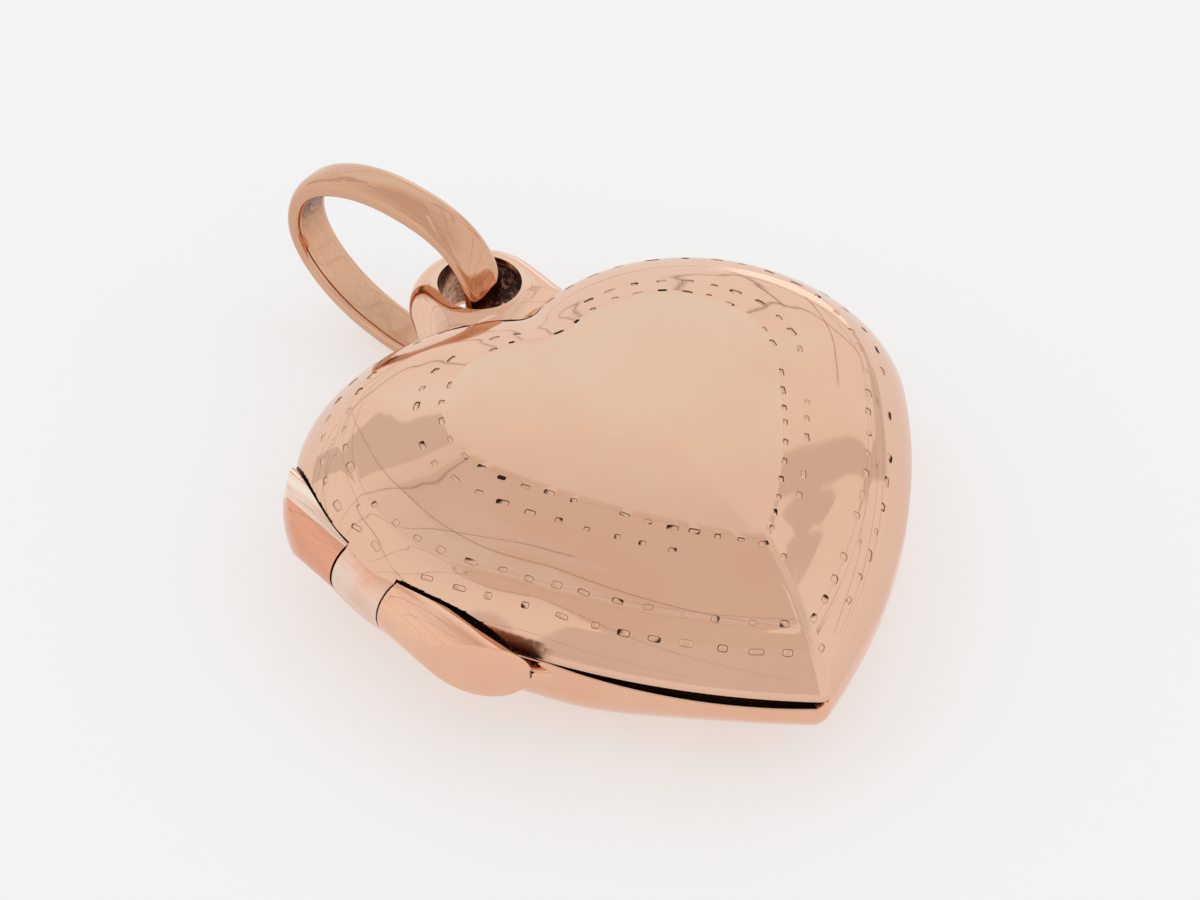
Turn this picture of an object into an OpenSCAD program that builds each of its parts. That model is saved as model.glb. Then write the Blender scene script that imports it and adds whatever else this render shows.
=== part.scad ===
// Heart locket with a side hinge, a soldered top loop and an oval bail.
// Origin: on the resting plane, under the middle of the heart's two lobes.
// +X to the right lobe, +Y from the tip to the loop, +Z out of the lid.

/* [Heart outline] */
// Width across the two lobes
heart_w = 20; // [19.6:0.1:20.4]
// Distance of a lobe's centre from the middle
lobe_x = 3.43; // [3.3:0.01:3.55]
// From the line of the lobes' centres down to the tip
tip_drop = 13.3; // [13:0.1:13.6]
// Radius of the long side arcs
side_r = 24.2; // [23:0.1:26]
// Rounding of the tip
tip_r = 0.45; // [0.3:0.05:0.6]
// Rounding in the cleft
cleft_r = 0.3; // [0.2:0.05:0.5]

/* [Centre panel] */
// Distance of a panel lobe's centre from the middle
panel_lobe_x = 2.09; // [1.9:0.01:2.3]
// Radius of the panel's lobes
panel_lobe_r = 3.38; // [3.2:0.01:3.6]
// The panel's lobe centres lie this much nearer the tip
panel_down = 0.42; // [0.3:0.01:0.6]
// From the heart's lobe line down to the panel's tip
panel_tip_drop = 8.95; // [8.6:0.05:9.3]
// Radius of the panel's side arcs
panel_side_r = 29.4; // [26:0.1:33]
// Rounding in the panel's cleft
panel_cleft_r = 2.2; // [1.8:0.1:2.6]
// Rounding of the panel's tip
panel_tip_r = 0.35; // [0.3:0.05:0.5]
// The hand-cut panel sits turned by this much on the heart
panel_turn = 3.3; // [0:0.1:4]

/* [Shells] */
// Height of the lid's edge above the resting plane
rest_h = 3.3; // [3.2:0.05:3.4]
// Rise of the lid from its edge to the panel's border
lid_rise = 2.68; // [2.5:0.02:2.8]
// Crown of the panel above its border
panel_crown = 0.14; // [0.05:0.01:0.2]
// Thickness of the sheet at its crown
sheet = 0.4; // [0.35:0.01:0.45]
// Seam between the shells where they close well
seam_gap = 0.1; // [0.08:0.01:0.14]
// Extra seam midway between the hinge and the tip
seam_sag = 0.34; // [0.2:0.01:0.4]
// How far the inner lip stands up inside the lid
lip_h = 0.32; // [0.2:0.01:0.4]

/* [Hinge] */
// The hinge line's distance from the middle, on the line of the lobes' centres
hinge_x = 9.36; // [9.3:0.02:9.42]
// The hinge line lies this far under the lid's edge
hinge_drop = 0.2; // [0.15:0.01:0.25]
// The hinge line leans towards the tip by this angle
hinge_turn = 10.4; // [10:0.1:10.8]
// Radius of the knuckles
knuckle_r = 1.03; // [1:0.01:1.06]
// The centre knuckle starts here along the hinge line
knuckle_from = 0.92; // [0.8:0.02:1]
// The centre knuckle ends here along the hinge line
knuckle_to = 3.24; // [3.1:0.02:3.4]
// Running gap round and between the knuckles
knuckle_gap = 0.06; // [0.05:0.01:0.08]
// Radius of the pin
pin_r = 0.35; // [0.3:0.01:0.4]
// Gap round the pin
pin_gap = 0.03; // [0.02:0.01:0.05]

/* [Loop] */
// Distance of the loop's centre from the line of the lobes' centres
loop_y = 8.05; // [8:0.01:8.1]
// Radius of the loop's hole
loop_hole_r = 1.37; // [1.35:0.01:1.4]
// Radius of the loop over its swell
loop_r = 2.3; // [2.25:0.01:2.33]
// Height of the loop
loop_h = 2; // [1.9:0.05:2.1]
// Top of the loop above the lid's edge
loop_top = 0.7; // [0.6:0.01:0.75]

/* [Bail] */
// Half the length of the bail's eye
bail_a = 3.38; // [3.3:0.01:3.45]
// Half the height of the bail's eye
bail_b = 2.52; // [2.45:0.01:2.6]
// How much wider the eye is at the loop's end
bail_egg = 0.19; // [0.1:0.01:0.25]
// Width of the band
bail_w = 1.56; // [1.5:0.01:1.6]
// Thickness of the band at its edges
bail_edge_t = 0.5; // [0.45:0.01:0.55]
// Thickness of the band along its middle
bail_mid_t = 0.69; // [0.65:0.01:0.72]
// The bail lies turned to the hinge side by this angle
bail_turn = 24.8; // [24:0.1:25.6]
// The bail's far end is raised by this angle
bail_pitch = 12.8; // [12:0.1:13.5]

/* [Hidden] */
gold = [0.87, 0.66, 0.55];
gold_dark = [0.8, 0.58, 0.48];

// Points on each arc of half an outline
cleft_n = 2;
lobe_n = 15;
side_n = 11;
tip_n = 3;
// Segments of the loop's swell and of the filed ends
swell_n = 12;
file_n = 12;
// Facets in the preview's round faces: the knuckles, and the loop
knuckle_fn = 48;
loop_fn = 64;

// Rings of the lid's outside. Columns: inset from the rim (0) to the panel (1), part of lid_rise
LID_RINGS = [[0, 0], [0, 0.05], [0.022, 0.135], [0.06, 0.24], [0.112, 0.35], [0.178, 0.463],
             [0.255, 0.575], [0.336, 0.668], [0.48, 0.768], [0.64, 0.847], [0.807, 0.918], [1, 1]];
// Rings of the lid's inside, with the same columns
LID_INNER = [[0.1, 0], [0.105, 0.1], [0.14, 0.2], [0.2, 0.32], [0.29, 0.45], [0.4, 0.54],
             [0.56, 0.64], [0.8, 0.755], [1, 0.84]];
// Rings of the panel's crown. Columns: inset from the border (1) to the middle (2), part of panel_crown
CROWN_RINGS = [[1.6, 0.9], [1.3, 0.6]];
// Rings of the back's outside. Columns: inset from the rim (0) to the panel (1), part of rest_h
BACK_RINGS = [[0, 0.136], [0.01, 0.25], [0.03, 0.37], [0.07, 0.5], [0.125, 0.62], [0.2, 0.73],
              [0.3, 0.83], [0.44, 0.913], [0.62, 0.972], [0.85, 1]];
// Rings of the back's inside, with the same columns
BACK_INNER = [[0.2, 0.3], [0.203, 0.42], [0.22, 0.53], [0.27, 0.63], [0.35, 0.72], [0.49, 0.81],
              [0.72, 0.879]];
// The bulge beside the hinge: its middle, half its length, and how far it goes out
bulge_y = -3.9;
bulge_half = 3.2;
BULGE = [0.3, 0.1];
// The lip stands between these two insets
LIP_OUT = 0.135;
LIP_IN = 0.2;
// Towards the tip the back's rings draw in by this much more, from this part of the way down on
TIP_EASE = 1.5;
tip_from = 0.6;
// The back's edge sags from this part of the way along the side, and how full the sag's curve is
sag_start = 0.42;
sag_power = 0.7;
// The outer knuckles' ends are filed round towards the heart. Columns: where the filing starts along the
// hinge line, how far its axis lies inside that line, its length
UPPER_FILE = [-0.9, 1.6, 2.45];
LOWER_FILE = [5, 1.2, 2.85];
// The filing starts this far outside the knuckle
file_clear = 0.05;
// The lid is cut away for the outer knuckles between these two places along the hinge line
lid_cut_from = -6;
lid_cut_to = 10;
// The lid's notch round the loop goes this far below its edge, and clears the loop's top by this much
notch_depth = 1;
notch_clear = 0.2;
// The pin's two ends along the hinge line
pin_from = -2;
pin_to = 6;

// The bail's centre, from the middle of the lobes' line and from the lid's edge
BAIL_AT = [-1.64, 10.9, 0.24];
bail_n = 36;
bail_power = 2.25;
// Points across the band. Columns: part of half the width, part of the dome's rise, 0 for the flat face
BAND = [[-1, 0, 0], [-1, 0, 0.8], [-0.92, 0.2, 1], [-0.5, 0.84, 1], [0, 1, 1], [0.5, 0.84, 1],
        [0.92, 0.2, 1], [1, 0, 0.8], [1, 0, 0]];

seam_z = rest_h;
hinge_z = seam_z - hinge_drop;
loop_mid_z = seam_z + loop_top - loop_h / 2;
cut_r = knuckle_r + knuckle_gap;
// Longer than any cut is deep
far = 20;

function turned(p, a) = [p.x * cos(a) - p.y * sin(a), p.x * sin(a) + p.y * cos(a)];
function arc(cx, cy, r, from, to, n) =
    [for (i = [1 : n]) let (a = from + (to - from) * i / n) [cx + r * cos(a), cy + r * sin(a)]];

// Right half of a heart, from the cleft to the tip: cleft, lobe, side and tip arcs that meet smoothly.
// lx, ly: lobe centre. lr: lobe radius. sr: side radius. ty: sharp tip. cr, tr: cleft and tip rounding.
function half_heart(lx, ly, lr, sr, ty, cr, tr) =
    let (
        cleft_cy = ly + sqrt((lr + cr) ^ 2 - lx ^ 2),
        lobe_from = atan2(cleft_cy - ly, -lx),
        reach = norm([lx, ly - ty]),
        along = (2 * lr * sr - lr ^ 2 - reach ^ 2) / (2 * (lr - sr)),
        lobe_to = atan2(ly - ty, lx) - acos(along / reach),
        sx = lx + (lr - sr) * cos(lobe_to),
        sy = ly + (lr - sr) * sin(lobe_to),
        tip_cy = sy - sqrt((sr - tr) ^ 2 - sx ^ 2),
        side_to = atan2(tip_cy - sy, -sx)
    )
    concat(
        [[0, cleft_cy - cr]],
        arc(0, cleft_cy, cr, -90, lobe_from - 180, cleft_n),
        arc(lx, ly, lr, lobe_from, lobe_to, lobe_n),
        arc(sx, sy, sr, lobe_to, side_to, side_n),
        arc(0, tip_cy, tr, side_to, -90, tip_n)
    );

// Closed outline: the right half, then its mirror image back up to the cleft
function heart(half) = concat(half, [for (i = [len(half) - 2 : -1 : 1]) [-half[i].x, half[i].y]]);

// Beside the hinge the rim stands out a little more, most of all next to the lower knuckle
function beside_hinge(p) =
    let (u = (p.y - bulge_y) / bulge_half) p.x < 0 && abs(u) < 1 ? cos(90 * u) ^ 2 : 0;
RIM = [for (p = heart(half_heart(lobe_x, 0, heart_w / 2 - lobe_x, side_r, -tip_drop, cleft_r, tip_r)))
          p - BULGE * beside_hinge(p)];
PANEL = [for (p = heart(half_heart(panel_lobe_x, -panel_down, panel_lobe_r, panel_side_r,
                                   -panel_tip_drop, panel_cleft_r, panel_tip_r))) turned(p, panel_turn)];
RING_N = len(RIM);
MIDDLE = turned([0, -(panel_down + panel_tip_drop) / 2 + panel_lobe_r / 2], panel_turn);

// One ring of the surface at a height: inset 0 is the rim, 1 the panel's border, 2 the middle
function ring(inset, z) =
    [for (i = [0 : RING_N - 1])
        let (p = inset <= 1 ? RIM[i] + (PANEL[i] - RIM[i]) * inset
                            : PANEL[i] + (MIDDLE - PANEL[i]) * (inset - 1))
        [p.x, p.y, z]];

// Near the tip the back's rings draw in more: eased(inset, i) is the inset of point i
function tipness(i) =
    let (u = (-RIM[i].y / tip_drop - tip_from) / (1 - tip_from)) u > 0 ? u * u * (3 - 2 * u) : 0;
function eased(inset, i) =
    inset < 1 ? inset + TIP_EASE * tipness(i) * inset * (1 - inset) : inset;
function back_ring(inset, z) = [for (i = [0 : RING_N - 1]) ring(min(1, eased(inset, i)), z)[i]];

// The back's edge sags along the side between the hinge's end and the tip
sag_from = cleft_n + lobe_n + side_n * sag_start;
sag_to = cleft_n + lobe_n + side_n + tip_n;
function sag(i) =
    let (u = (RING_N - i - sag_from) / (sag_to - sag_from)) u > 0 && u < 1 ? sin(180 * u) ^ sag_power : 0;
function edge_ring(inset, z) = [for (i = [0 : RING_N - 1]) ring(inset, z - seam_sag * sag(i))[i]];

// Closed surface through rings of equal length, with its first and last ring drawn to a point
module skin(rings, first, last) {
    n = len(rings);
    m = len(rings[0]);
    points = concat([first], [for (r = rings) each r], [last]);
    faces = concat(
        [for (i = [0 : m - 1]) [0, 1 + i, 1 + (i + 1) % m]],
        [for (k = [0 : n - 2], i = [0 : m - 1])
            [1 + k * m + i, 1 + (k + 1) * m + i, 1 + k * m + (i + 1) % m]],
        [for (k = [0 : n - 2], i = [0 : m - 1])
            [1 + (k + 1) * m + i, 1 + (k + 1) * m + (i + 1) % m, 1 + k * m + (i + 1) % m]],
        [for (i = [0 : m - 1]) [n * m + 1, 1 + (n - 1) * m + (i + 1) % m, 1 + (n - 1) * m + i]]
    );
    polyhedron(points, faces, convexity = 6);
}

function at(p, z) = [p.x, p.y, z];

module lid_skin() {
    top = seam_z + lid_rise;
    outer = [for (k = [len(LID_RINGS) - 1 : -1 : 0])
                ring(LID_RINGS[k][0], seam_z + lid_rise * LID_RINGS[k][1])];
    inner = [for (r = LID_INNER) ring(r[0], seam_z + lid_rise * r[1])];
    crown = [for (r = CROWN_RINGS) ring(r[0], top + panel_crown * r[1])];
    skin(concat(crown, outer, inner), at(MIDDLE, top + panel_crown), at(MIDDLE, top + panel_crown - sheet));
}

module back_skin() {
    rim_z = seam_z - seam_gap;
    outer = [for (k = [len(BACK_RINGS) - 1 : -1 : 0])
                back_ring(BACK_RINGS[k][0], rest_h * (1 - BACK_RINGS[k][1]))];
    edge = [edge_ring(0, rim_z), edge_ring(LIP_OUT, rim_z)];
    lip = [ring(LIP_OUT, seam_z + lip_h), ring(LIP_IN, seam_z + lip_h)];
    inner = [for (r = BACK_INNER) back_ring(r[0], rest_h * (1 - r[1]))];
    mirror([0, 0, 1])
        skin([for (r = concat(outer, edge, lip, inner)) [for (p = r) [p.x, p.y, -p.z]]],
             at(MIDDLE, 0), at(MIDDLE, -sheet));
}

// Places what follows on the hinge line: +Z along it towards the tip, +X away from the heart, +Y down
module on_hinge() {
    translate([-hinge_x, 0, hinge_z]) rotate([0, 0, hinge_turn]) rotate([90, 0, 0]) rotate([0, 0, 180])
        children();
}

module knuckle(from, to, r) {
    on_hinge() translate([0, 0, from]) cylinder(r = r, h = to - from, $fn = knuckle_fn);
}

// An outer knuckle: a tube whose outer end, on the side of the sign, is filed round
module filed_knuckle(inner_end, row, side) {
    reach = knuckle_r + row[1] + file_clear;
    from = side < 0 ? row[0] - row[2] : inner_end;
    to = side < 0 ? inner_end : row[0] + row[2];
    profile = concat([[0, -far], [reach, -far]],
                     [for (i = [0 : file_n]) let (a = 90 * i / file_n) [reach * cos(a), row[2] * sin(a)]]);
    intersection() {
        knuckle(from, to, knuckle_r);
        on_hinge() translate([-row[1], 0, row[0]]) rotate([side < 0 ? 180 : 0, 0, 0])
            rotate_extrude($fn = knuckle_fn) polygon(profile);
    }
}

// Solder between the lower knuckle's end and the wall. Columns: along the hinge line, out from it
WEB = [[5.6, -0.2], [6.7, -0.4], [7.7, -1], [8.6, -2], [7.4, -1.6], [6, -0.9]];
web_drop = 0.15;
web_h = 0.8;
module web() {
    on_hinge() rotate([90, 0, 0]) translate([0, 0, hinge_drop - web_drop - web_h])
        linear_extrude(web_h) polygon([for (p = WEB) [p[1], p[0]]]);
}

module back_knuckles() {
    filed_knuckle(knuckle_from, UPPER_FILE, -1);
    filed_knuckle(knuckle_to, LOWER_FILE, 1);
    web();
}

module pin_bore() {
    knuckle(pin_from - pin_gap, pin_to + pin_gap, pin_r + pin_gap);
}

// The loop's outside, before its hole: a disc with a swelling edge
module loop_disc() {
    half = loop_h / 2;
    swell = loop_r - loop_hole_r;
    side = [for (i = [0 : swell_n]) let (a = -90 + 180 * i / swell_n)
                [loop_hole_r + swell * cos(a), half * sin(a)]];
    translate([0, loop_y, loop_mid_z]) rotate_extrude($fn = loop_fn)
        polygon(concat([[0, -half]], side, [[0, half]]));
}

// Solder that runs from the ring out to both lobes
solder_top = 0.2;
solder_h = 0.85;
// Columns: its corners, round from the cleft
SOLDER = [[0, 5.45], [3.5, 6.35], [2.55, 7.2], [1.75, 8.6], [-1.7, 8.6], [-2.3, 7.2], [-3, 6.3]];
module solder() {
    translate([0, 0, seam_z - solder_top - solder_h]) linear_extrude(solder_h) polygon(SOLDER);
}

module back_shell() {
    color(gold) difference() {
        union() {
            back_skin();
            back_knuckles();
            loop_disc();
            solder();
        }
        translate([0, loop_y, 0]) cylinder(r = loop_hole_r, h = far, $fn = loop_fn);
        knuckle(knuckle_from, knuckle_to, cut_r);
        pin_bore();
    }
}

module front_shell() {
    color(gold) difference() {
        union() {
            difference() {
                lid_skin();
                knuckle(lid_cut_from, knuckle_from + knuckle_gap, cut_r);
                knuckle(knuckle_to - knuckle_gap, lid_cut_to, cut_r);
                translate([0, loop_y, seam_z - notch_depth])
                    cylinder(r = loop_r + knuckle_gap, h = notch_depth + loop_top + notch_clear,
                             $fn = loop_fn);
            }
            knuckle(knuckle_from + knuckle_gap, knuckle_to - knuckle_gap, knuckle_r);
        }
        pin_bore();
    }
}

module hinge_pin() {
    color(gold_dark) knuckle(pin_from, pin_to, pin_r);
}

// The bail's eye: an egg-like oval. Angle 0 is the far end, 180 the loop's end
function signed_power(v, e) = sign(v) * abs(v) ^ e;
function eye(a) = [bail_a * signed_power(cos(a), 2 / bail_power),
                   bail_b * signed_power(sin(a), 2 / bail_power) * (1 - bail_egg * cos(a))];
function eye_out(a) = let (d = eye(a + 1) - eye(a - 1)) [d.y, -d.x] / norm(d);
function band_out(row) = row[2] * bail_edge_t + row[1] * (bail_mid_t - bail_edge_t);

module bail() {
    m = len(BAND);
    points = [for (i = [0 : bail_n - 1], row = BAND)
                let (a = 360 * (i + 0.5) / bail_n, p = eye(a) + eye_out(a) * band_out(row))
                [row[0] * bail_w / 2, p.x, p.y]];
    faces = [for (i = [0 : bail_n - 1], j = [0 : m - 1])
                let (i2 = (i + 1) % bail_n, j2 = (j + 1) % m)
                each [[i * m + j, i * m + j2, i2 * m + j], [i * m + j2, i2 * m + j2, i2 * m + j]]];
    color(gold) translate([BAIL_AT.x, BAIL_AT.y, seam_z + BAIL_AT.z]) rotate([0, 0, bail_turn])
        rotate([bail_pitch, 0, 0]) polyhedron(points, faces, convexity = 4);
}

back_shell();
front_shell();
hinge_pin();
bail();
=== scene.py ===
# %% [markdown]
# # A puffed heart locket, polished and punched by hand
#
# The object is a small rose gold locket that lies closed on its back. Its lid is a domed heart with a
# smooth centre panel and four punched rows, its back is a shallower heart with a tall rim, a fat loop is
# soldered in the cleft, and an oval bail hangs through the loop. The imported solids give every size and
# place. This script builds smoother skins round them, and the metal that covers them.

# %% Load the solids, and put their places into their meshes
import math
import random
from itertools import groupby

import bmesh
import bpy
from mathutils import Matrix, Vector
from mathutils.kdtree import KDTree


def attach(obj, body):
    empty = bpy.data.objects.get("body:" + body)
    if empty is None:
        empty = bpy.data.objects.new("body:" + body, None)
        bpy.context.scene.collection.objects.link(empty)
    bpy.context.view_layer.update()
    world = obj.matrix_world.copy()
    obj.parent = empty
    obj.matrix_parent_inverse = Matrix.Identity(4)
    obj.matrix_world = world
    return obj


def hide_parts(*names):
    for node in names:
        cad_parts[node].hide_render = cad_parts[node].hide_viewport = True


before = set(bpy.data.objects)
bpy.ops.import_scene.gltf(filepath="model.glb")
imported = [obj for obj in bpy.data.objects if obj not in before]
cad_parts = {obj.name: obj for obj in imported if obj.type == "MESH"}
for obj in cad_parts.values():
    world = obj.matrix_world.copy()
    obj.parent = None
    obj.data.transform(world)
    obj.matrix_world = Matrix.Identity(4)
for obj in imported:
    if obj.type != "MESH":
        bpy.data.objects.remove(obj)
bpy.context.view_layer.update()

# %% [markdown]
# ## Working units and small helpers
#
# The solids are in metres, which is awkward for a thing 20 mm wide. All sizes below are in millimetres, and
# one helper turns them into metres. Every tool in Blender acts on what is selected, so another helper
# clears the selection and makes one object the active one before each step.

# %% Units, selection and finishing
MM = 0.001
TOUCHING = 1e-7


def mm(x, y, z):
    """A point in millimetres as a Blender vector in metres."""
    return Vector((x * MM, y * MM, z * MM))


def pick(*objects):
    """Selects only these objects, and makes the first one active."""
    bpy.ops.object.select_all(action="DESELECT")
    for o in objects:
        o.select_set(True)
    bpy.context.view_layer.objects.active = objects[0]


def signed_power(v, e):
    return math.copysign(abs(v) ** e, v)


def triangles(o):
    return sum(len(p.vertices) - 2 for p in o.data.polygons)


def put_in_mesh(o):
    """Writes an object's place, turn and size into its mesh."""
    pick(o)
    bpy.ops.object.transform_apply(location=True, rotation=True, scale=True)


def apply_modifiers(o):
    pick(o)
    for m in list(o.modifiers):
        bpy.ops.object.modifier_apply(modifier=m.name)


def cut(o, tool, operation="DIFFERENCE"):
    """Boolean of one object with another, which is then deleted."""
    m = o.modifiers.new("cut", "BOOLEAN")
    m.operation = operation
    m.solver = "EXACT"
    m.object = tool
    apply_modifiers(o)
    bpy.data.objects.remove(tool)


def settle(o, name, body, sharp_deg=30):
    """Names a finished piece, smooths it, puts its place into its mesh and sets what it rides on."""
    put_in_mesh(o)
    bpy.ops.object.shade_smooth_by_angle(angle=math.radians(sharp_deg))
    o.name = name
    o.data.name = name
    if "station" in o.data.attributes:
        o.data.attributes.remove(o.data.attributes["station"])
    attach(o, body)
    print(name, triangles(o), "triangles")
    return o


# %% [markdown]
# ## The camera
#
# The photograph looks down on the locket from the left of its tip, with a long lens. The camera stands on
# that line, about 15 cm from the heart. Its three axes come from two angles: how far the heart is turned
# on the table, and how high the camera stands.

# %% Place the camera
HEART_TURN = 0.52079
CAMERA_RISE = 0.72848
CAMERA_ROLL = -0.00096
CAMERA_FAR = 145.34
PX_PER_MM = 31.959
SEAM_Z = 3.3
IMAGE_W, IMAGE_H = 1200, 900
HEART_PX = (603.564, 442.006)
SENSOR_W = 36.0
CLIP_START = 0.005

turn = Matrix.Rotation(HEART_TURN, 3, "Z")
tilt = Matrix.Rotation(CAMERA_RISE - math.pi / 2, 3, "X")
roll = Matrix.Rotation(CAMERA_ROLL, 3, "Z")
world_to_camera = roll @ tilt @ turn
camera_to_world = world_to_camera.transposed()
heart_in_view = Vector(((HEART_PX[0] - IMAGE_W / 2) / PX_PER_MM,
                        -(HEART_PX[1] - IMAGE_H / 2) / PX_PER_MM, -CAMERA_FAR))
eye = Vector((0, 0, SEAM_Z)) - camera_to_world @ heart_in_view

camera_data = bpy.data.cameras.new("camera")
camera_data.sensor_width = SENSOR_W
camera_data.lens = PX_PER_MM * CAMERA_FAR / IMAGE_W * SENSOR_W
camera_data.clip_start = CLIP_START
camera = bpy.data.objects.new("camera", camera_data)
bpy.context.collection.objects.link(camera)
camera.matrix_world = Matrix.Translation(eye * MM) @ camera_to_world.to_4x4()
bpy.context.scene.camera = camera
print("camera at", [round(v, 4) for v in camera.location], "lens", round(camera_data.lens, 1))

# %% [markdown]
# ## The heart's outline
#
# Half a heart is four arcs that meet smoothly: the cleft, the lobe, the long side and the tip. The rim and
# the centre panel use the same function with other sizes, and point number i of one lies across from
# point number i of the other, so any line between them can be found by mixing the two.

# %% Outlines of the rim and of the panel
CLEFT_N, LOBE_N, SIDE_N, TIP_N = 6, 62, 46, 8
TIP_DROP = 13.3
BULGE_Y, BULGE_REACH = -3.9, 3.2
BULGE_OUT, BULGE_DOWN = 0.3, 0.1


def arc(cx, cy, r, start, end, n):
    return [(cx + r * math.cos(start + (end - start) * i / n),
             cy + r * math.sin(start + (end - start) * i / n)) for i in range(1, n + 1)]


def half_heart(lobe_x, lobe_y, lobe_r, side_r, tip_y, cleft_r, tip_r):
    """Cleft to tip, from the lobe's centre, the tip's place and the radii of the four arcs."""
    cleft_cy = lobe_y + math.sqrt((lobe_r + cleft_r) ** 2 - lobe_x ** 2)
    lobe_from = math.atan2(cleft_cy - lobe_y, -lobe_x)
    reach = math.hypot(lobe_x, lobe_y - tip_y)
    along = (2 * lobe_r * side_r - lobe_r ** 2 - reach ** 2) / (2 * (lobe_r - side_r))
    lobe_to = math.atan2(lobe_y - tip_y, lobe_x) - math.acos(along / reach)
    side_x = lobe_x + (lobe_r - side_r) * math.cos(lobe_to)
    side_y = lobe_y + (lobe_r - side_r) * math.sin(lobe_to)
    tip_cy = side_y - math.sqrt((side_r - tip_r) ** 2 - side_x ** 2)
    side_to = math.atan2(tip_cy - side_y, -side_x)
    return ([(0.0, cleft_cy - cleft_r)]
            + arc(0, cleft_cy, cleft_r, -math.pi / 2, lobe_from - math.pi, CLEFT_N)
            + arc(lobe_x, lobe_y, lobe_r, lobe_from, lobe_to, LOBE_N)
            + arc(side_x, side_y, side_r, lobe_to, side_to, SIDE_N)
            + arc(0, tip_cy, tip_r, side_to, -math.pi / 2, TIP_N))


def whole(half):
    """Both halves of a heart, all the way round."""
    return half + [(-x, y) for x, y in reversed(half[1:-1])]


def beside_hinge(x, y):
    """How far the rim bulges out beside the lower knuckle, from 0 to 1."""
    u = (y - BULGE_Y) / BULGE_REACH
    return math.cos(math.pi / 2 * u) ** 2 if x < 0 and abs(u) < 1 else 0.0


RIM_HALF = half_heart(lobe_x=3.43, lobe_y=0, lobe_r=6.57, side_r=24.2, tip_y=-TIP_DROP,
                      cleft_r=0.3, tip_r=0.45)
RIM = [(x - BULGE_OUT * beside_hinge(x, y), y - BULGE_DOWN * beside_hinge(x, y))
       for x, y in whole(RIM_HALF)]
PANEL_TURN = math.radians(3.3)
PANEL_HALF = half_heart(lobe_x=2.09, lobe_y=-0.42, lobe_r=3.38, side_r=29.4, tip_y=-8.95,
                        cleft_r=2.2, tip_r=0.35)
PANEL = [(x * math.cos(PANEL_TURN) - y * math.sin(PANEL_TURN),
          x * math.sin(PANEL_TURN) + y * math.cos(PANEL_TURN)) for x, y in whole(PANEL_HALF)]
RING_N = len(RIM)
MIDDLE = (0.17, -2.99)
print("points round each outline:", RING_N)


def ring_point(i, inset):
    """Inset 0 is the rim, 1 the panel's border, 2 the middle."""
    a, b, t = (RIM[i], PANEL[i], inset) if inset <= 1 else (PANEL[i], MIDDLE, inset - 1)
    return a[0] + (b[0] - a[0]) * t, a[1] + (b[1] - a[1]) * t


# %% [markdown]
# ## Smooth profiles
#
# A profile is a short table of insets and heights, the same as the solid's. Straight lines between its
# rows would show as facets in polished metal, so a smooth curve is run through the rows: each stretch is a
# cubic whose ends lean the way their neighbours do.


# %% A smooth curve through the rows of a table
def smooth_rows(rows, steps):
    """Catmull-Rom curve through (inset, height) rows, with this many steps in each stretch."""
    out = []
    for k in range(len(rows) - 1):
        p0 = rows[max(k - 1, 0)]
        p1, p2 = rows[k], rows[k + 1]
        p3 = rows[min(k + 2, len(rows) - 1)]
        for s in range(steps):
            t = s / steps
            out.append(tuple(0.5 * (2 * b + (c - a) * t + (2 * a - 5 * b + 4 * c - d) * t * t
                                    + (3 * b - a - 3 * c + d) * t ** 3)
                             for a, b, c, d in zip(p0, p1, p2, p3)))
    return out + [rows[-1]]


# %% [markdown]
# ## Growing a skin ring by ring
#
# A raised sheet of metal can be built the way a potter coils a pot: a ring of points is added as a circle
# primitive, and its edge is extruded again and again, each time to the next ring's place. Every point
# carries the number of its station round the heart, and an extruded copy keeps that number, so the code
# always knows where a point belongs. The first and the last ring are drawn together into one point. A
# point may carry a second number too, for the darkening that the metal's finish will show there: dirt in
# some places, painted shade in others.


# %% Grow a closed skin through many rings
def grow(name, rings, close=True, shade_and_dirt=None):
    """Rings of points in mm, and a function of (ring, station) that gives the dirt and painted shade from 0
    to 1. Returns a closed object or an open tube.
    """
    n = len(rings[0])
    bpy.ops.object.select_all(action="DESELECT")
    bpy.ops.mesh.primitive_circle_add(vertices=n, radius=MM, fill_type="NOTHING")
    o = bpy.context.object
    o.name = name
    bpy.ops.object.mode_set(mode="EDIT")
    bm = bmesh.from_edit_mesh(o.data)
    bm.verts.layers.int.new("station")
    bm.verts.layers.float.new("dirt_and_shade")
    station, dirt_and_shade = bm.verts.layers.int["station"], bm.verts.layers.float["dirt_and_shade"]
    for v in bm.verts:
        v[station] = v.index
    for k, ring in enumerate(rings):
        if k:
            bpy.ops.mesh.extrude_edges_move()
            bm = bmesh.from_edit_mesh(o.data)
            station, dirt_and_shade = bm.verts.layers.int["station"], bm.verts.layers.float["dirt_and_shade"]
        for v in bm.verts:
            if v.select:
                v.co = mm(*ring[v[station]])
                v[dirt_and_shade] = shade_and_dirt(k, v[station]) if shade_and_dirt else 0.0
        bmesh.update_edit_mesh(o.data)
    if close:
        for end in (rings[-1], rings[0]):
            bpy.ops.mesh.select_all(action="DESELECT")
            bm = bmesh.from_edit_mesh(o.data)
            bm.select_mode = {"EDGE"}
            for e in bm.edges:
                if e.is_boundary and all((v.co - mm(*end[v[station]])).length < TOUCHING for v in e.verts):
                    e.select_set(True)
            bm.select_flush_mode()
            bmesh.update_edit_mesh(o.data)
            bpy.ops.mesh.extrude_edges_move()
            bpy.ops.mesh.merge(type="CENTER")
            bm = bmesh.from_edit_mesh(o.data)
            station = bm.verts.layers.int["station"]
        bpy.ops.mesh.select_all(action="SELECT")
        bpy.ops.mesh.normals_make_consistent(inside=False)
    bpy.ops.object.mode_set(mode="OBJECT")
    return o


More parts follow.
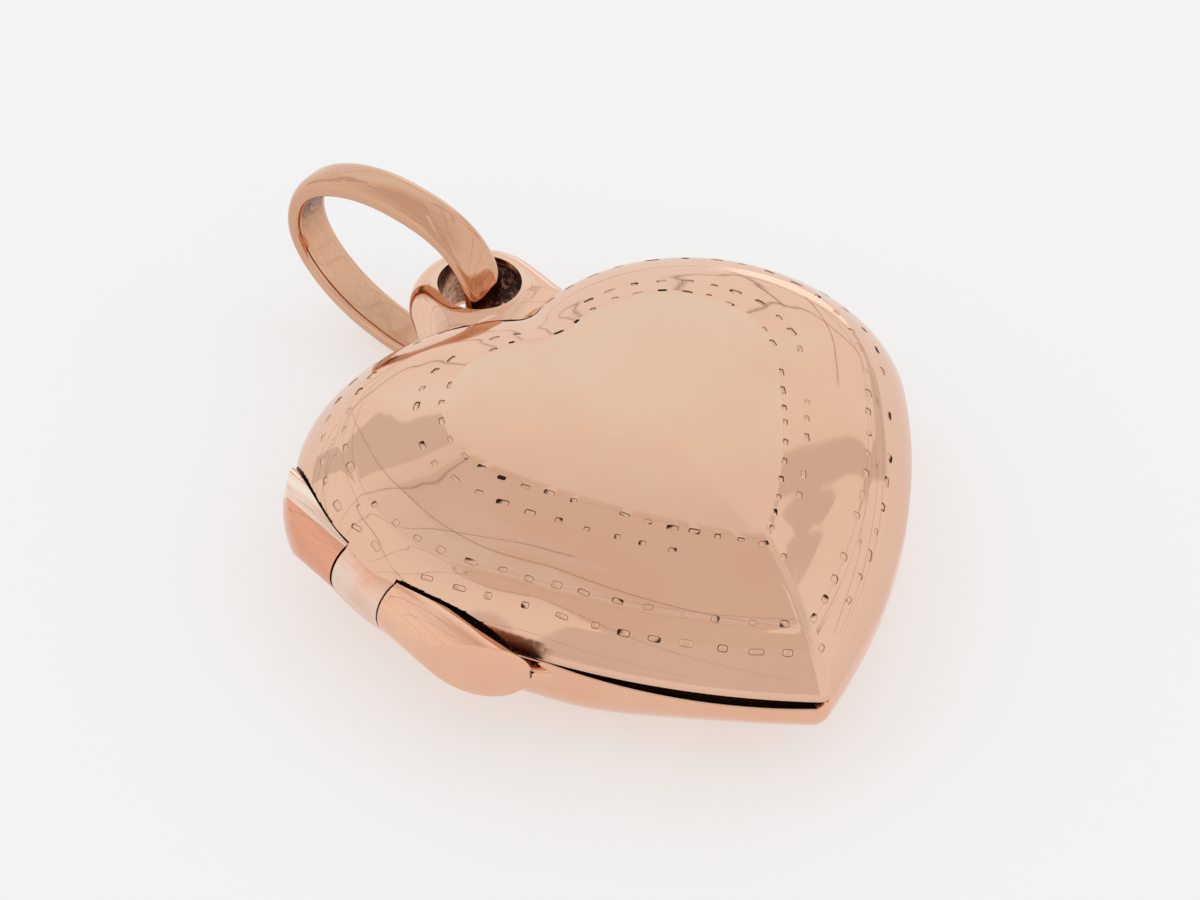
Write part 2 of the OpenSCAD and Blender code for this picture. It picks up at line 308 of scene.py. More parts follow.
# %% [markdown]
# ## The lid
#
# The lid was raised from sheet over a former: its dome is steep at the rim and eases into the panel's
# border, and the panel itself is only slightly crowned. The skin goes from the middle of the panel out and
# down to the rim, round the edge of the sheet, and back up inside.

# %% Grow the lid's sheet
LID_RISE = 2.68
CROWN = 0.14
SHEET = 0.4
LID_ROWS = [(0, 0), (0, 0.05), (0.022, 0.135), (0.06, 0.24), (0.112, 0.35), (0.178, 0.463),
            (0.255, 0.575), (0.336, 0.668), (0.48, 0.768), (0.64, 0.847), (0.807, 0.918), (1, 1)]
LID_INSIDE = [(0.1, 0), (0.105, 0.1), (0.14, 0.2), (0.2, 0.32), (0.29, 0.45), (0.4, 0.54),
              (0.56, 0.64), (0.8, 0.755), (1, 0.84)]
PANEL_RINGS, PANEL_REACH = 14, 0.985
# Rings under the panel: inset, and how far above the end of the inside's rows
UNDER_PANEL = [(1.3, 0.04), (1.97, 0.1)]
# Painted shade, dark round the lid's inner edge and lighter over the inside of the lid and of the back
EDGE_SHADE, EDGE_RINGS, INSIDE_SHADE = 0.6, 4, 0.12


def lid_ring(inset, part):
    return [(*ring_point(i, inset), SEAM_Z + LID_RISE * part) for i in range(RING_N)]


def profile_height(rows, inset):
    """Height part of a smooth profile at an inset."""
    for a, b in zip(rows, rows[1:]):
        if a[0] <= inset <= b[0] and b[0] > a[0]:
            return a[1] + (b[1] - a[1]) * (inset - a[0]) / (b[0] - a[0])
    return rows[-1][1]


lid_curve = smooth_rows(LID_ROWS, 8)
panel_curve = [(1 + PANEL_REACH * (k / PANEL_RINGS), CROWN * math.sin(math.pi / 2 * k / PANEL_RINGS))
               for k in range(1, PANEL_RINGS + 1)]
rings = [[(*ring_point(i, inset), SEAM_Z + LID_RISE + rise) for i in range(RING_N)]
         for inset, rise in reversed(panel_curve)]
rings += [lid_ring(inset, part) for inset, part in reversed(lid_curve)]
rings += [lid_ring(inset, part) for inset, part in smooth_rows(LID_INSIDE, 3)]
rings += [[(*ring_point(i, inset), SEAM_Z + LID_RISE * LID_INSIDE[-1][1] + rise) for i in range(RING_N)]
          for inset, rise in UNDER_PANEL]
outside_n = len(panel_curve) + len(lid_curve)


def lid_shade(k, i):
    """Painted shade: dark round the inner edge, where the back's lip was, and a little darker and duller
    further in.
    """
    if k < outside_n:
        return 0.0
    return EDGE_SHADE if k < outside_n + EDGE_RINGS else INSIDE_SHADE


lid = grow("lid_sheet", rings, shade_and_dirt=lid_shade)
print("lid rings:", len(rings))

# %% [markdown]
# ## The punched rows
#
# The maker struck a short blunt punch along two double rows: one round the panel and one above the rim. A
# strike leaves a shallow pit, a rectangle with rounded corners and a flat floor. So the end of the punch is
# modelled once, from a ball that is pushed out towards a box. A copy of it is laid at every strike, a little
# turned and never twice the same size, and one Boolean takes them all from the lid. Each copy also carries
# the number for the dirt in its pit: a thin line round the wall, dirt against one side, or dirt all over.
# The Boolean drops such numbers, so they are noted first and written back to the same points. The random
# draw is seeded.

# %% Where the punch is struck
# Columns: inset, then in mm: pitch, length, width and depth of a mark, then the chances of a clean pit, of
# dirt at one side, and of a full pit
PUNCH_ROWS = [(0.985, 0.78, 0.32, 0.17, 0.06, (0.45, 0.47, 0.08)),
              (0.807, 0.86, 0.34, 0.19, 0.06, (0.5, 0.44, 0.06)),
              (0.336, 0.98, 0.40, 0.22, 0.05, (0.72, 0.28, 0.0)),
              (0.178, 1.04, 0.40, 0.22, 0.05, (0.68, 0.32, 0.0))]
PUNCH_HALF_H = 0.13
PUNCH_CLEAR = 0.66
PUNCH_SQUARE = 0.5
PUNCH_CHANCE = 0.9
TURNED, ASTRAY = 0.2, 0.04
LONGER, WIDER, DEEPER = (0.55, 1.3), (0.75, 1.2), (0.7, 1.15)
CLEAN_PIT, FULL_PIT, PIT_OUTLINE = 0.05, 1.0, (0.15, 0.6)
WALL_Z = 0.9
ACROSS = 0.02


def lid_point(i, inset):
    """A point in mm on the outside of the lid."""
    return Vector((*ring_point(i, inset), SEAM_Z + LID_RISE * profile_height(lid_curve, min(inset, 1.0))))


def strike_places(inset, pitch):
    """Places along a row, about a pitch apart: the point, the row's direction and the way out."""
    row = [lid_point(i, inset) for i in range(RING_N)]
    places, wait = [], 0.0
    for i in range(RING_N):
        step = row[(i + 1) % RING_N] - row[i]
        if wait < step.length:
            along = step.normalized()
            uphill = lid_point(i, inset + ACROSS) - lid_point(i, inset - ACROSS)
            normal = along.cross(uphill).normalized()
            places.append((row[i] + along * wait, along, normal if normal.z > 0 else -normal))
            wait += pitch * random.uniform(0.85, 1.15)
        wait -= step.length
    return places


# %% Strike the marks
def lay_punch(template, place, length, width, depth, chances):
    """A copy of the punch's end, sunk into the lid at a place by a depth in mm."""
    point, along, normal = place
    along = (Matrix.Rotation(random.uniform(-TURNED, TURNED), 3, normal) @ along).normalized()
    over = normal.cross(along).normalized()
    depth *= random.uniform(*DEEPER)
    lift = PUNCH_HALF_H - depth
    half = (length / 2 * random.uniform(*LONGER), width / 2 * random.uniform(*WIDER), PUNCH_HALF_H)
    middle = point + normal * lift + over * random.uniform(-ASTRAY, ASTRAY)
    o = template.copy()
    o.data = template.data.copy()
    bpy.context.collection.objects.link(o)
    axes = [axis * size for axis, size in zip((along, over, normal), half)]
    o.matrix_world = Matrix.Translation(middle * MM) @ Matrix(axes).transposed().to_4x4()
    kind = random.choices(("clean", "one side", "full"), chances)[0]
    side = Vector((random.uniform(-1, 1), random.uniform(-1, 1), 0)).normalized()
    outline = random.uniform(*PIT_OUTLINE)
    layer = o.data.attributes["dirt_and_shade"].data
    for v in o.data.vertices:
        at = v.co / MM
        at_side = max(CLEAN_PIT, min(FULL_PIT, 1.6 * at.dot(side) - 0.35))
        amount = {"clean": CLEAN_PIT, "one side": at_side, "full": FULL_PIT}[kind]
        layer[v.index].value = max(amount, outline) if abs(at.z) < WALL_Z else amount
    return o


def push_to_box(v, e):
    """A point of a unit ball, pushed out towards a box. e is 1 for the ball and near 0 for the box."""
    flat = math.hypot(v.x, v.y)
    if flat < 1e-6:
        return v
    wide = signed_power(flat, e)
    return Vector((wide * signed_power(v.x / flat, e), wide * signed_power(v.y / flat, e),
                   signed_power(v.z, e)))


random.seed(11)
bpy.ops.object.select_all(action="DESELECT")
bpy.ops.mesh.primitive_uv_sphere_add(segments=16, ring_count=12, radius=MM)
punch = bpy.context.object
for v in punch.data.vertices:
    v.co = push_to_box(v.co / MM, PUNCH_SQUARE) * MM
punch.data.attributes.new("dirt_and_shade", "FLOAT", "POINT")
strikes, struck = [], []
for inset, pitch, length, width, depth, chances in PUNCH_ROWS:
    for place in strike_places(inset, pitch):
        clear = all((place[0] - other).length > PUNCH_CLEAR for other in struck)
        if clear and random.random() < PUNCH_CHANCE:
            struck.append(place[0])
            strikes.append(lay_punch(punch, place, length, width, depth, chances))
bpy.data.objects.remove(punch)
print("punch marks:", len(strikes))

# %% Cut the marks, and carry their dirt over
SAME_PLACE = 1e-8
pick(*strikes)
bpy.ops.object.join()
marks = bpy.context.object
put_in_mesh(marks)
noted = KDTree(len(marks.data.vertices))
for v in marks.data.vertices:
    noted.insert(v.co, v.index)
noted.balance()
amounts = [d.value for d in marks.data.attributes["dirt_and_shade"].data]
cut(lid, marks)
layer = lid.data.attributes["dirt_and_shade"].data
for v in lid.data.vertices:
    place, k, away = noted.find(v.co)
    if away < SAME_PLACE:
        layer[v.index].value = amounts[k]
print("the lid with its marks:", triangles(lid), "triangles")

# %% [markdown]
# ## Room for the hinge
#
# The lid turns about a pin that runs beside its edge, so wherever the back's knuckles stand, the lid is
# cut away by a tube that is a hair wider. The cutter is a plain cylinder laid along the hinge line, and a
# Boolean takes it from the lid. A shallow round notch in the cleft leaves room for the loop.

# %% The hinge's line, and cylinders along it
HINGE_LEAN = math.radians(10.4)
HINGE_X, HINGE_Z = -9.36, 3.1
KNUCKLE_R = 1.03
KNUCKLE_GAP = 0.06
KNUCKLE_FROM, KNUCKLE_TO = 0.92, 3.24
ON_HINGE = Matrix(((-math.cos(HINGE_LEAN), 0, math.sin(HINGE_LEAN), HINGE_X * MM),
                   (-math.sin(HINGE_LEAN), 0, -math.cos(HINGE_LEAN), 0),
                   (0, -1, 0, HINGE_Z * MM),
                   (0, 0, 0, 1)))
FROM_HINGE = ON_HINGE.inverted()


def tube(start, end, r, points=96, place=ON_HINGE):
    """A capped cylinder along the local Z of a place, from start to end in millimetres."""
    bpy.ops.object.select_all(action="DESELECT")
    bpy.ops.mesh.primitive_cylinder_add(vertices=points, radius=r * MM, depth=(end - start) * MM)
    o = bpy.context.object
    o.matrix_world = place @ Matrix.Translation((0, 0, (start + end) / 2 * MM))
    put_in_mesh(o)
    return o


def on_hinge(p):
    """A point in mm as seen from the hinge: x out from the heart, y down, z along the pin."""
    return FROM_HINGE @ (p * MM) / MM


# %% Cut the lid
LOOP_Y = 8.05
CUT_CLEAR = 0.09
CUT_R = KNUCKLE_R + CUT_CLEAR
CUT_START, CUT_END = -6, 10
NOTCH_FROM, NOTCH_TO, NOTCH_R = 2.3, 4.2, 2.36
# Painted shade on the face cut beside the long knuckles, and at the foot of the lid's wall behind the lower
# knuckle
CUT_SHADE, FOOT_SHADE = 0.78, 0.45
FOOT_REACH, FOOT_TOP = 1.8, 3.9
FOOT_START, FOOT_END = 5.0, 8.3
cut(lid, tube(CUT_START, KNUCKLE_FROM + KNUCKLE_GAP, CUT_R))
cut(lid, tube(KNUCKLE_TO - KNUCKLE_GAP, CUT_END, CUT_R))
cut(lid, tube(NOTCH_FROM, NOTCH_TO, NOTCH_R, place=Matrix.Translation(mm(0, LOOP_Y, 0))))


def on_cut_face(p):
    """Whether a place is on the face that was cut beside one of the long knuckles."""
    q = on_hinge(p)
    beside_long_knuckle = q.z < KNUCKLE_FROM or q.z > KNUCKLE_TO
    return beside_long_knuckle and abs(math.hypot(q.x, q.y) - CUT_R) < 0.01


def foot_shade(p):
    """Painted shade at the foot of the lid's wall, behind the lower knuckle's end."""
    q = on_hinge(p)
    if math.hypot(q.x, q.y) > FOOT_REACH:
        return 0.0
    near = min(1.0, (q.z - FOOT_START) / 0.8, (FOOT_END - q.z) / 0.5)
    low = min(1.0, (FOOT_TOP - p.z) / 0.1)
    return FOOT_SHADE * max(0.0, near) * max(0.0, low)


# %% Let the painted shade end sharply at the cut face's edge
pick(lid)
lid.data.attributes.active = lid.data.attributes["dirt_and_shade"]
bpy.ops.geometry.attribute_convert(mode="GENERIC", domain="CORNER")
layer = lid.data.attributes["dirt_and_shade"].data
for k, corner in enumerate(lid.data.loops):
    layer[k].value = max(layer[k].value, foot_shade(lid.data.vertices[corner.vertex_index].co / MM))
shaded = [face for face in lid.data.polygons if on_cut_face(face.center / MM)]
for face in shaded:
    for k in face.loop_indices:
        layer[k].value = CUT_SHADE
print("dirty faces beside the hinge:", len(shaded))
lid = settle(lid, "lid_sheet", "lid")
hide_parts("front_shell")

# %% [markdown]
# ## The back
#
# The back is grown the same way. Its side is tall and nearly upright, then it curves quickly under to the
# flat that it rests on. Along the side between the hinge and the tip the edge sags, which leaves the dark
# line under the lid. A short lip stands up inside the edge, and the lid closes round it.

# %% Grow the back's sheet
BACK_ROWS = [(0, 0.136), (0.01, 0.25), (0.03, 0.37), (0.07, 0.5), (0.125, 0.62), (0.2, 0.73),
             (0.3, 0.83), (0.44, 0.913), (0.62, 0.972), (0.85, 1)]
BACK_INSIDE = [(0.2, 0.3), (0.203, 0.42), (0.22, 0.53), (0.27, 0.63), (0.35, 0.72), (0.49, 0.81),
               (0.72, 0.879)]
UNDER_INSETS = (1.97, 1.6, 1.25, 1.0)
LIP_OUT, LIP_IN, LIP_H = 0.135, 0.2, 0.32
SEAM_GAP, SEAM_SAG = 0.1, 0.34
SAG_FROM, SAG_POWER = 0.42, 0.7
TIP_EASE, EASE_FROM, EASE_OVER = 1.5, 0.6, 0.4
BEHIND_KNUCKLES = 0.05
# Painted shade on the back's edge, darker on the ledge under the lid and up the lip
BACK_EDGE_SHADE, LEDGE_SHADE = 0.15, 0.8


def eased(i, inset):
    """Near the tip the back draws in more."""
    u = max(0.0, (-RIM[i][1] / TIP_DROP - EASE_FROM) / EASE_OVER)
    return inset + TIP_EASE * u * u * (3 - 2 * u) * inset * (1 - inset) if inset < 1 else inset


def sag(i):
    """How much the edge sags at a station, from 0 to 1, along the side from the hinge's end to the tip."""
    j = RING_N - i
    first = CLEFT_N + LOBE_N + SIDE_N * SAG_FROM
    last = RING_N // 2
    u = (j - first) / (last - first)
    return math.sin(math.pi * u) ** SAG_POWER if 0 < u < 1 else 0.0


def back_ring(inset, part):
    """A ring of the back. Behind the knuckles it is drawn in a little."""
    insets = [eased(i, inset) + BEHIND_KNUCKLES * beside_hinge(*RIM[i]) for i in range(RING_N)]
    return [(*ring_point(i, min(1.0, insets[i])), SEAM_Z * (1 - part)) for i in range(RING_N)]


def edge_ring(inset, lift=0.0):
    """A ring at the height of the back's edge, which sags."""
    return [(*ring_point(i, inset), SEAM_Z - SEAM_GAP + lift - SEAM_SAG * sag(i)) for i in range(RING_N)]


rings = [[(*ring_point(i, inset), 0.0) for i in range(RING_N)] for inset in UNDER_INSETS]
rings += [back_ring(inset, part) for inset, part in reversed(smooth_rows(BACK_ROWS, 5))]
rings += [edge_ring(0.0), edge_ring(0.012, 0.03), edge_ring(LIP_OUT - 0.01, 0.03), edge_ring(LIP_OUT)]
rings += [[(*ring_point(i, inset), SEAM_Z + LIP_H) for i in range(RING_N)] for inset in (LIP_OUT, LIP_IN)]
rings += [back_ring(inset, part) for inset, part in smooth_rows(BACK_INSIDE, 3)]
rings += [[(*ring_point(i, inset), SHEET) for i in range(RING_N)] for inset in (1.0, 1.97)]
outside_n = len(UNDER_INSETS) + len(smooth_rows(BACK_ROWS, 5)) + 2


def back_shade(k, i):
    """Painted shade: dark on the ledge under the lid's edge and up the lip, and a little darker inside."""
    if k < outside_n - 1:
        return 0.0
    if k < outside_n:
        return BACK_EDGE_SHADE
    return LEDGE_SHADE if k < outside_n + 3 else INSIDE_SHADE


back = grow("back_sheet", rings, shade_and_dirt=back_shade)
cut(back, tube(KNUCKLE_FROM, KNUCKLE_TO, KNUCKLE_R + KNUCKLE_GAP))
back = settle(back, "back_sheet", "back")
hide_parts("back_shell")

# %% [markdown]
# ## The hinge's knuckles
#
# Two long knuckles belong to the back and a short one to the lid. The long ones were filed at their outer
# ends until they ran into the heart's side, which leaves a leaf-shaped facet. Filing is what a Boolean
# intersection does: the tube is kept only where it lies inside a stretched ball. A narrow bevel then
# breaks every edge, because a sharp edge of real metal always catches a line of light.

# %% Tubes, filed round and with broken edges
FILE_CLEAR, BALL_STRETCH = 0.05, 12


def break_edges(o, width, deg=30):
    """Bevels every edge that is sharper than an angle."""
    bevel = o.modifiers.new("broken edge", "BEVEL")
    bevel.width = width * MM
    bevel.segments = 3
    bevel.limit_method = "ANGLE"
    bevel.angle_limit = math.radians(deg)
    bevel.use_clamp_overlap = True
    apply_modifiers(o)


def slab(outline, top, height):
    """A block from (along, out) corners. top and height are in mm, measured down from the hinge line."""
    bpy.ops.object.select_all(action="DESELECT")
    bpy.ops.mesh.primitive_circle_add(vertices=len(outline), radius=MM, fill_type="NGON")
    o = bpy.context.object
    bpy.ops.object.mode_set(mode="EDIT")
    bm = bmesh.from_edit_mesh(o.data)
    for v, (along, out) in zip(bm.verts, outline):
        v.co = mm(out, top, along)
    bmesh.update_edit_mesh(o.data)
    bpy.ops.mesh.extrude_region_move(TRANSFORM_OT_translate={"value": (0, height * MM, 0)})
    bpy.ops.mesh.select_all(action="SELECT")
    bpy.ops.mesh.normals_make_consistent(inside=False)
    bpy.ops.object.mode_set(mode="OBJECT")
    o.matrix_world = ON_HINGE
    put_in_mesh(o)
    return o


def filed_knuckle(inner_end, start, aside, length, side):
    """A tube from its inner end, whose other end is filed from start on over a length, on the given side."""
    outer_end = start + side * length
    o = tube(min(inner_end, outer_end), max(inner_end, outer_end), KNUCKLE_R)
    reach = KNUCKLE_R + aside + FILE_CLEAR
    bpy.ops.mesh.primitive_uv_sphere_add(segments=128, ring_count=64, radius=MM)
    ball = bpy.context.object
    ball.scale = (reach, reach, length)
    bpy.ops.object.transform_apply(scale=True)
    bpy.ops.object.mode_set(mode="EDIT")
    bm = bmesh.from_edit_mesh(ball.data)
    for v in bm.verts:
        v.select_set(v.co.z * side < -TOUCHING)
    bm.select_flush_mode()
    bmesh.update_edit_mesh(ball.data)
    bpy.ops.transform.translate(value=(0, 0, -side * BALL_STRETCH * MM))
    bpy.ops.object.mode_set(mode="OBJECT")
    ball.matrix_world = ON_HINGE @ Matrix.Translation(mm(-aside, 0, start))
    put_in_mesh(ball)
    cut(o, ball, "INTERSECT")
    return o


# %% The three knuckles
# Corners (along the hinge, out from it) of what is filed off the lower knuckle, beside the lid
FILED = [(3.1, -0.45), (4.2, -0.34), (5.2, -0.28), (6.2, -0.36), (7.0, -0.52), (7.6, -0.74), (8.3, -1.2),
         (9.5, -3.0), (3.0, -3.0)]
FILED_N = 7
FILED_TOP, FILED_DEPTH = -2.0, 4.0
upper_knuckle = filed_knuckle(KNUCKLE_FROM, start=0.0, aside=2.0, length=3.6, side=-1)
lower_knuckle = filed_knuckle(KNUCKLE_TO, start=4.4, aside=2.2, length=3.92, side=1)
centre_knuckle = tube(KNUCKLE_FROM + KNUCKLE_GAP, KNUCKLE_TO - KNUCKLE_GAP, KNUCKLE_R)
cut(lower_knuckle, slab(FILED, FILED_TOP, FILED_DEPTH))
for knuckle, width in ((upper_knuckle, 0.06), (lower_knuckle, 0.06), (centre_knuckle, 0.045)):
    break_edges(knuckle, width)
settle(upper_knuckle, "upper_knuckle", "back")
settle(lower_knuckle, "lower_knuckle", "back")
settle(centre_knuckle, "centre_knuckle", "lid")


# %% Painted shade on the faces inside the hinge's gaps
# Painted shade in the hinge's gaps, and on the filed face, darker further down
GAP_SHADE, FILED_SHADE, FILED_DEEP = 0.95, 1.1, 0.9
JUST_IN = 0.02


def filed_to(along):
    """How far out the lower knuckle was filed, at a place along the hinge."""
    for a, b in zip(FILED[:FILED_N - 1], FILED[1:FILED_N]):
        if a[0] <= along <= b[0]:
            return a[1] + (b[1] - a[1]) * (along - a[0]) / (b[0] - a[0])
    return None


def gap_shade(p):
    """Painted shade on the knuckles' end faces, and down the face that was filed beside the lid, darker
    further down.
    """
    q = on_hinge(p)
    at_gap = min(abs(q.z - KNUCKLE_FROM), abs(q.z - KNUCKLE_TO)) < KNUCKLE_GAP + 0.01
    if at_gap and math.hypot(q.x, q.y) < KNUCKLE_R - JUST_IN:
        return GAP_SHADE
    edge = filed_to(q.z)
    if edge is None or q.x >= edge + JUST_IN:
        return 0.0
    return max(0.0, min(1.0, (q.y + FILED_DEEP) * FILED_SHADE))


for knuckle in (upper_knuckle, lower_knuckle, centre_knuckle):
    layer = knuckle.data.attributes.new("dirt_and_shade", "FLOAT", "POINT").data
    for v in knuckle.data.vertices:
        layer[v.index].value = gap_shade(v.co / MM)
print("knuckles:", upper_knuckle.name, centre_knuckle.name, lower_knuckle.name)

# %% [markdown]
# ## Solder beside the lower knuckle
#
# The lower knuckle's end stands off the side a little, and solder fills the corner. It is a flat block
# whose outline follows the gap: a six-point circle primitive, its points moved to the outline's corners
# and its face extruded.

# %% Fill the corner with solder
WEB = [(5.6, -0.2), (6.7, -0.4), (7.7, -1.0), (8.6, -2.0), (7.4, -1.6), (6.0, -0.9)]
WEB_TOP, WEB_DEPTH, WEB_EDGE = 0.15, 0.6, 0.12
solder = slab(WEB, WEB_TOP, WEB_DEPTH)
break_edges(solder, WEB_EDGE)
settle(solder, "hinge_solder", "back")

# %% [markdown]
# ## The loop
#
# The loop is a short length of D-shaped wire bent into a ring, with its flat side to the hole, and
# soldered into the cleft. A spin turns the D into the ring. Then the points that face the heart are pulled
# outwards until they meet the two lobes, the way solder runs out along them.

# %% Spin the loop
LOOP_HOLE_R, LOOP_R, LOOP_H = 1.37, 2.3, 2.0
LOOP_MID_Z = SEAM_Z + 0.7 - LOOP_H / 2
LOOP_STEPS, WIRE_N = 128, 40
HOLE_BULGE = 0.06
SOLDERED_DEG, FLARE_DEG, FLARE_OVER = 60, 104, 44
FLARE_OUT, FLARE_POWER = 0.95, 2.2
INTO_LOBE = 0.2


def rim_distance(angle):
    """Distance from the loop's centre to the heart's rim in a direction, or None where it misses."""
    dx, dy = math.cos(angle), math.sin(angle)
    best = None
    for i in range(RING_N):
        x1, y1 = RIM[i]
        x2, y2 = RIM[(i + 1) % RING_N]
        y1, y2 = y1 - LOOP_Y, y2 - LOOP_Y
        det = dx * (y1 - y2) - dy * (x1 - x2)
        if abs(det) < 1e-12:
            continue
        t = (x1 * (y1 - y2) - y1 * (x1 - x2)) / det
        s = (dx * y1 - dy * x1) / det
        if t > 0 and 0 <= s <= 1 and (best is None or t < best):
            best = t
    return best


def loop_reach(angle):
    """How far out the ring goes in a direction: it flares where it meets the lobes."""
    from_heart = abs(math.degrees(math.remainder(angle + math.pi / 2, 2 * math.pi)))
    hit = rim_distance(angle)
    if from_heart <= SOLDERED_DEG and hit:
        return max(LOOP_R, hit + INTO_LOBE)
    flare = max(0.0, (FLARE_DEG - from_heart) / FLARE_OVER)
    return LOOP_R + FLARE_OUT * flare ** FLARE_POWER


bpy.ops.object.select_all(action="DESELECT")
bpy.ops.mesh.primitive_circle_add(vertices=WIRE_N, radius=MM, fill_type="NOTHING")
loop = bpy.context.object
bpy.ops.object.mode_set(mode="EDIT")
bm = bmesh.from_edit_mesh(loop.data)
swell = LOOP_R - LOOP_HOLE_R
for k, v in enumerate(bm.verts):
    a = 2 * math.pi * k / WIRE_N
    out = LOOP_HOLE_R + max(0.0, swell * math.cos(a))
    inner = math.cos(a) < 0
    up = LOOP_H / 2 * math.sin(a) * (0.96 if inner else 1.0)
    v.co = mm(out - (HOLE_BULGE * math.cos(a) ** 2 if inner else 0), LOOP_Y, LOOP_MID_Z + up)
bmesh.update_edit_mesh(loop.data)
bpy.ops.mesh.select_all(action="SELECT")
bpy.ops.mesh.spin(steps=LOOP_STEPS, angle=2 * math.pi, center=mm(0, LOOP_Y, LOOP_MID_Z), axis=(0, 0, 1))
bpy.ops.mesh.select_all(action="SELECT")
bpy.ops.mesh.remove_doubles(threshold=0.002 * MM)
bpy.ops.mesh.normals_make_consistent(inside=False)

# %% Let the solder run out to the lobes
bm = bmesh.from_edit_mesh(loop.data)
dirt_and_shade = bm.verts.layers.float.new("dirt_and_shade")
for v in bm.verts:
    x, y = v.co.x / MM, v.co.y / MM - LOOP_Y
    r, a = math.hypot(x, y), math.atan2(y, x)
    # The hole's wall is darkened, most on the side away from the hinge
    v[dirt_and_shade] = 0.35 + 0.4 * max(0.0, min(1.0, x + 0.3)) if r < LOOP_HOLE_R - 0.02 else 0.0
    part = max(0.0, (r - LOOP_HOLE_R) / swell)
    wanted = loop_reach(a)
    new_r = r + (wanted - LOOP_R) * part ** 1.5
    squash = 1 - 0.5 * min(1.0, (wanted - LOOP_R) / 1.2) * part ** 2
    v.co = mm(new_r * math.cos(a), LOOP_Y + new_r * math.sin(a),
              LOOP_MID_Z + (v.co.z / MM - LOOP_MID_Z) * squash)
bmesh.update_edit_mesh(loop.data)
bpy.ops.object.mode_set(mode="OBJECT")
settle(loop, "soldered_loop", "back", 50)

# %% [markdown]
# ## The bail
#
# The bail is a band of half-round section, flat inside and domed outside, closed into an egg-shaped oval.
# It is grown like the sheets: the section is one ring of points, and each new ring is the section carried
# on along the oval. The last ring is bridged to the first one.

# %% Grow the bail's band
BAIL_AT = (-1.64, 10.9, 0.24)
BAIL_A, BAIL_B, BAIL_EGG, BAIL_POWER = 3.38, 2.52, 0.19, 2.25
BAIL_W, BAIL_EDGE_T, BAIL_MID_T = 1.56, 0.5, 0.69
BAIL_TURN, BAIL_PITCH = math.radians(24.8), math.radians(12.8)
BAIL_STEPS = 200
BAND_N = 40
# Darkening on the bail's inside, more near its far end
BAIL_INSIDE_DARK, FAR_END_DARK, FAR_END_AT = 0.1, 0.55, 0.25


def eye_point(a):
    """The inside of the bail's eye: 0 is the far end, pi is in the loop."""
    return Vector((BAIL_A * signed_power(math.cos(a), 2 / BAIL_POWER),
                   BAIL_B * signed_power(math.sin(a), 2 / BAIL_POWER) * (1 - BAIL_EGG * math.cos(a))))


def band_point(k):
    """Point k of the band's section: across the band, and out from its flat face."""
    a = 2 * math.pi * (k + 0.5) / BAND_N
    across = BAIL_W / 2 * signed_power(math.cos(a), 0.42)
    dome = BAIL_EDGE_T + (BAIL_MID_T - BAIL_EDGE_T) * (1 - (across / (BAIL_W / 2)) ** 2)
    return across, dome * (0.5 + 0.5 * signed_power(math.sin(a), 0.5))


bail_place = (Matrix.Translation(mm(BAIL_AT[0], BAIL_AT[1], SEAM_Z + BAIL_AT[2]))
              @ Matrix.Rotation(BAIL_TURN, 4, "Z") @ Matrix.Rotation(BAIL_PITCH, 4, "X"))
rings = []
for s in range(BAIL_STEPS):
    a = 2 * math.pi * (s + 0.5) / BAIL_STEPS
    lean = eye_point(a + 0.01) - eye_point(a - 0.01)
    outward = Vector((lean.y, -lean.x)).normalized()
    ring = []
    for k in range(BAND_N):
        across, out = band_point(k)
        p = eye_point(a) + outward * out
        q = bail_place @ mm(across, p.x, p.y) / MM
        ring.append(tuple(q))
    rings.append(ring)


def bail_darkening(s, k):
    """Darker on the inside, and darker still near the far end."""
    inside = band_point(k)[1] < 0.02
    far_end = max(0.0, math.cos(2 * math.pi * (s + 0.5) / BAIL_STEPS - FAR_END_AT)) ** 16
    return BAIL_INSIDE_DARK + FAR_END_DARK * far_end if inside else 0.0


bail = grow("bail_band", rings, close=False, shade_and_dirt=bail_darkening)
pick(bail)
bpy.ops.object.mode_set(mode="EDIT")
bpy.ops.mesh.select_all(action="DESELECT")
bpy.ops.mesh.select_mode(type="EDGE")
bpy.ops.mesh.select_non_manifold(extend=False, use_wire=False, use_boundary=True)
bpy.ops.mesh.bridge_edge_loops()
bpy.ops.mesh.select_mode(type="VERT")
bpy.ops.mesh.select_all(action="SELECT")
bpy.ops.mesh.normals_make_consistent(inside=False)
bpy.ops.object.mode_set(mode="OBJECT")
settle(bail, "bail_band", "bail", 50)
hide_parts("bail")

# %% [markdown]
# ## The tent of light
#
# Polished metal has no look of its own: it shows what stands round it. Small jewellery is photographed in
# a tent of white cloth, so the world here is such a tent. It is white, a little dimmer overhead, with a
# dimmer opening in front, and a few folds and seams in the cloth. Those seams are what draws the thin
# curved lines on the dome. Each card of cloth is a window in the direction that a ray leaves in, made by one
# small node group. The camera itself sees plain pale cloth.
#
# The tent is asked for its colour millions of times, so its nodes are kept few. A card works on both of its
# directions at once, as a vector. Cards of one colour are added up before they are mixed in, and a ray that
# goes down, where the floor hides the tent, skips them all.


# %% Little helpers for nodes
VECTOR = "ShaderNodeVectorMath"


def wire(tree, source, target):
    tree.links.new(source, target)


def math_node(tree, operation, a, b=None, kind="ShaderNodeMath"):
    """A math node whose inputs are sockets or values. Returns its output."""
    n = tree.nodes.new(kind)
    n.operation = operation
    for socket, value in zip(n.inputs, (a, b)):
        if value is None:
            continue
        if isinstance(value, (int, float, tuple)):
            socket.default_value = value
        else:
            wire(tree, value, socket)
    return n.outputs[1 if operation == "DOT_PRODUCT" else 0]


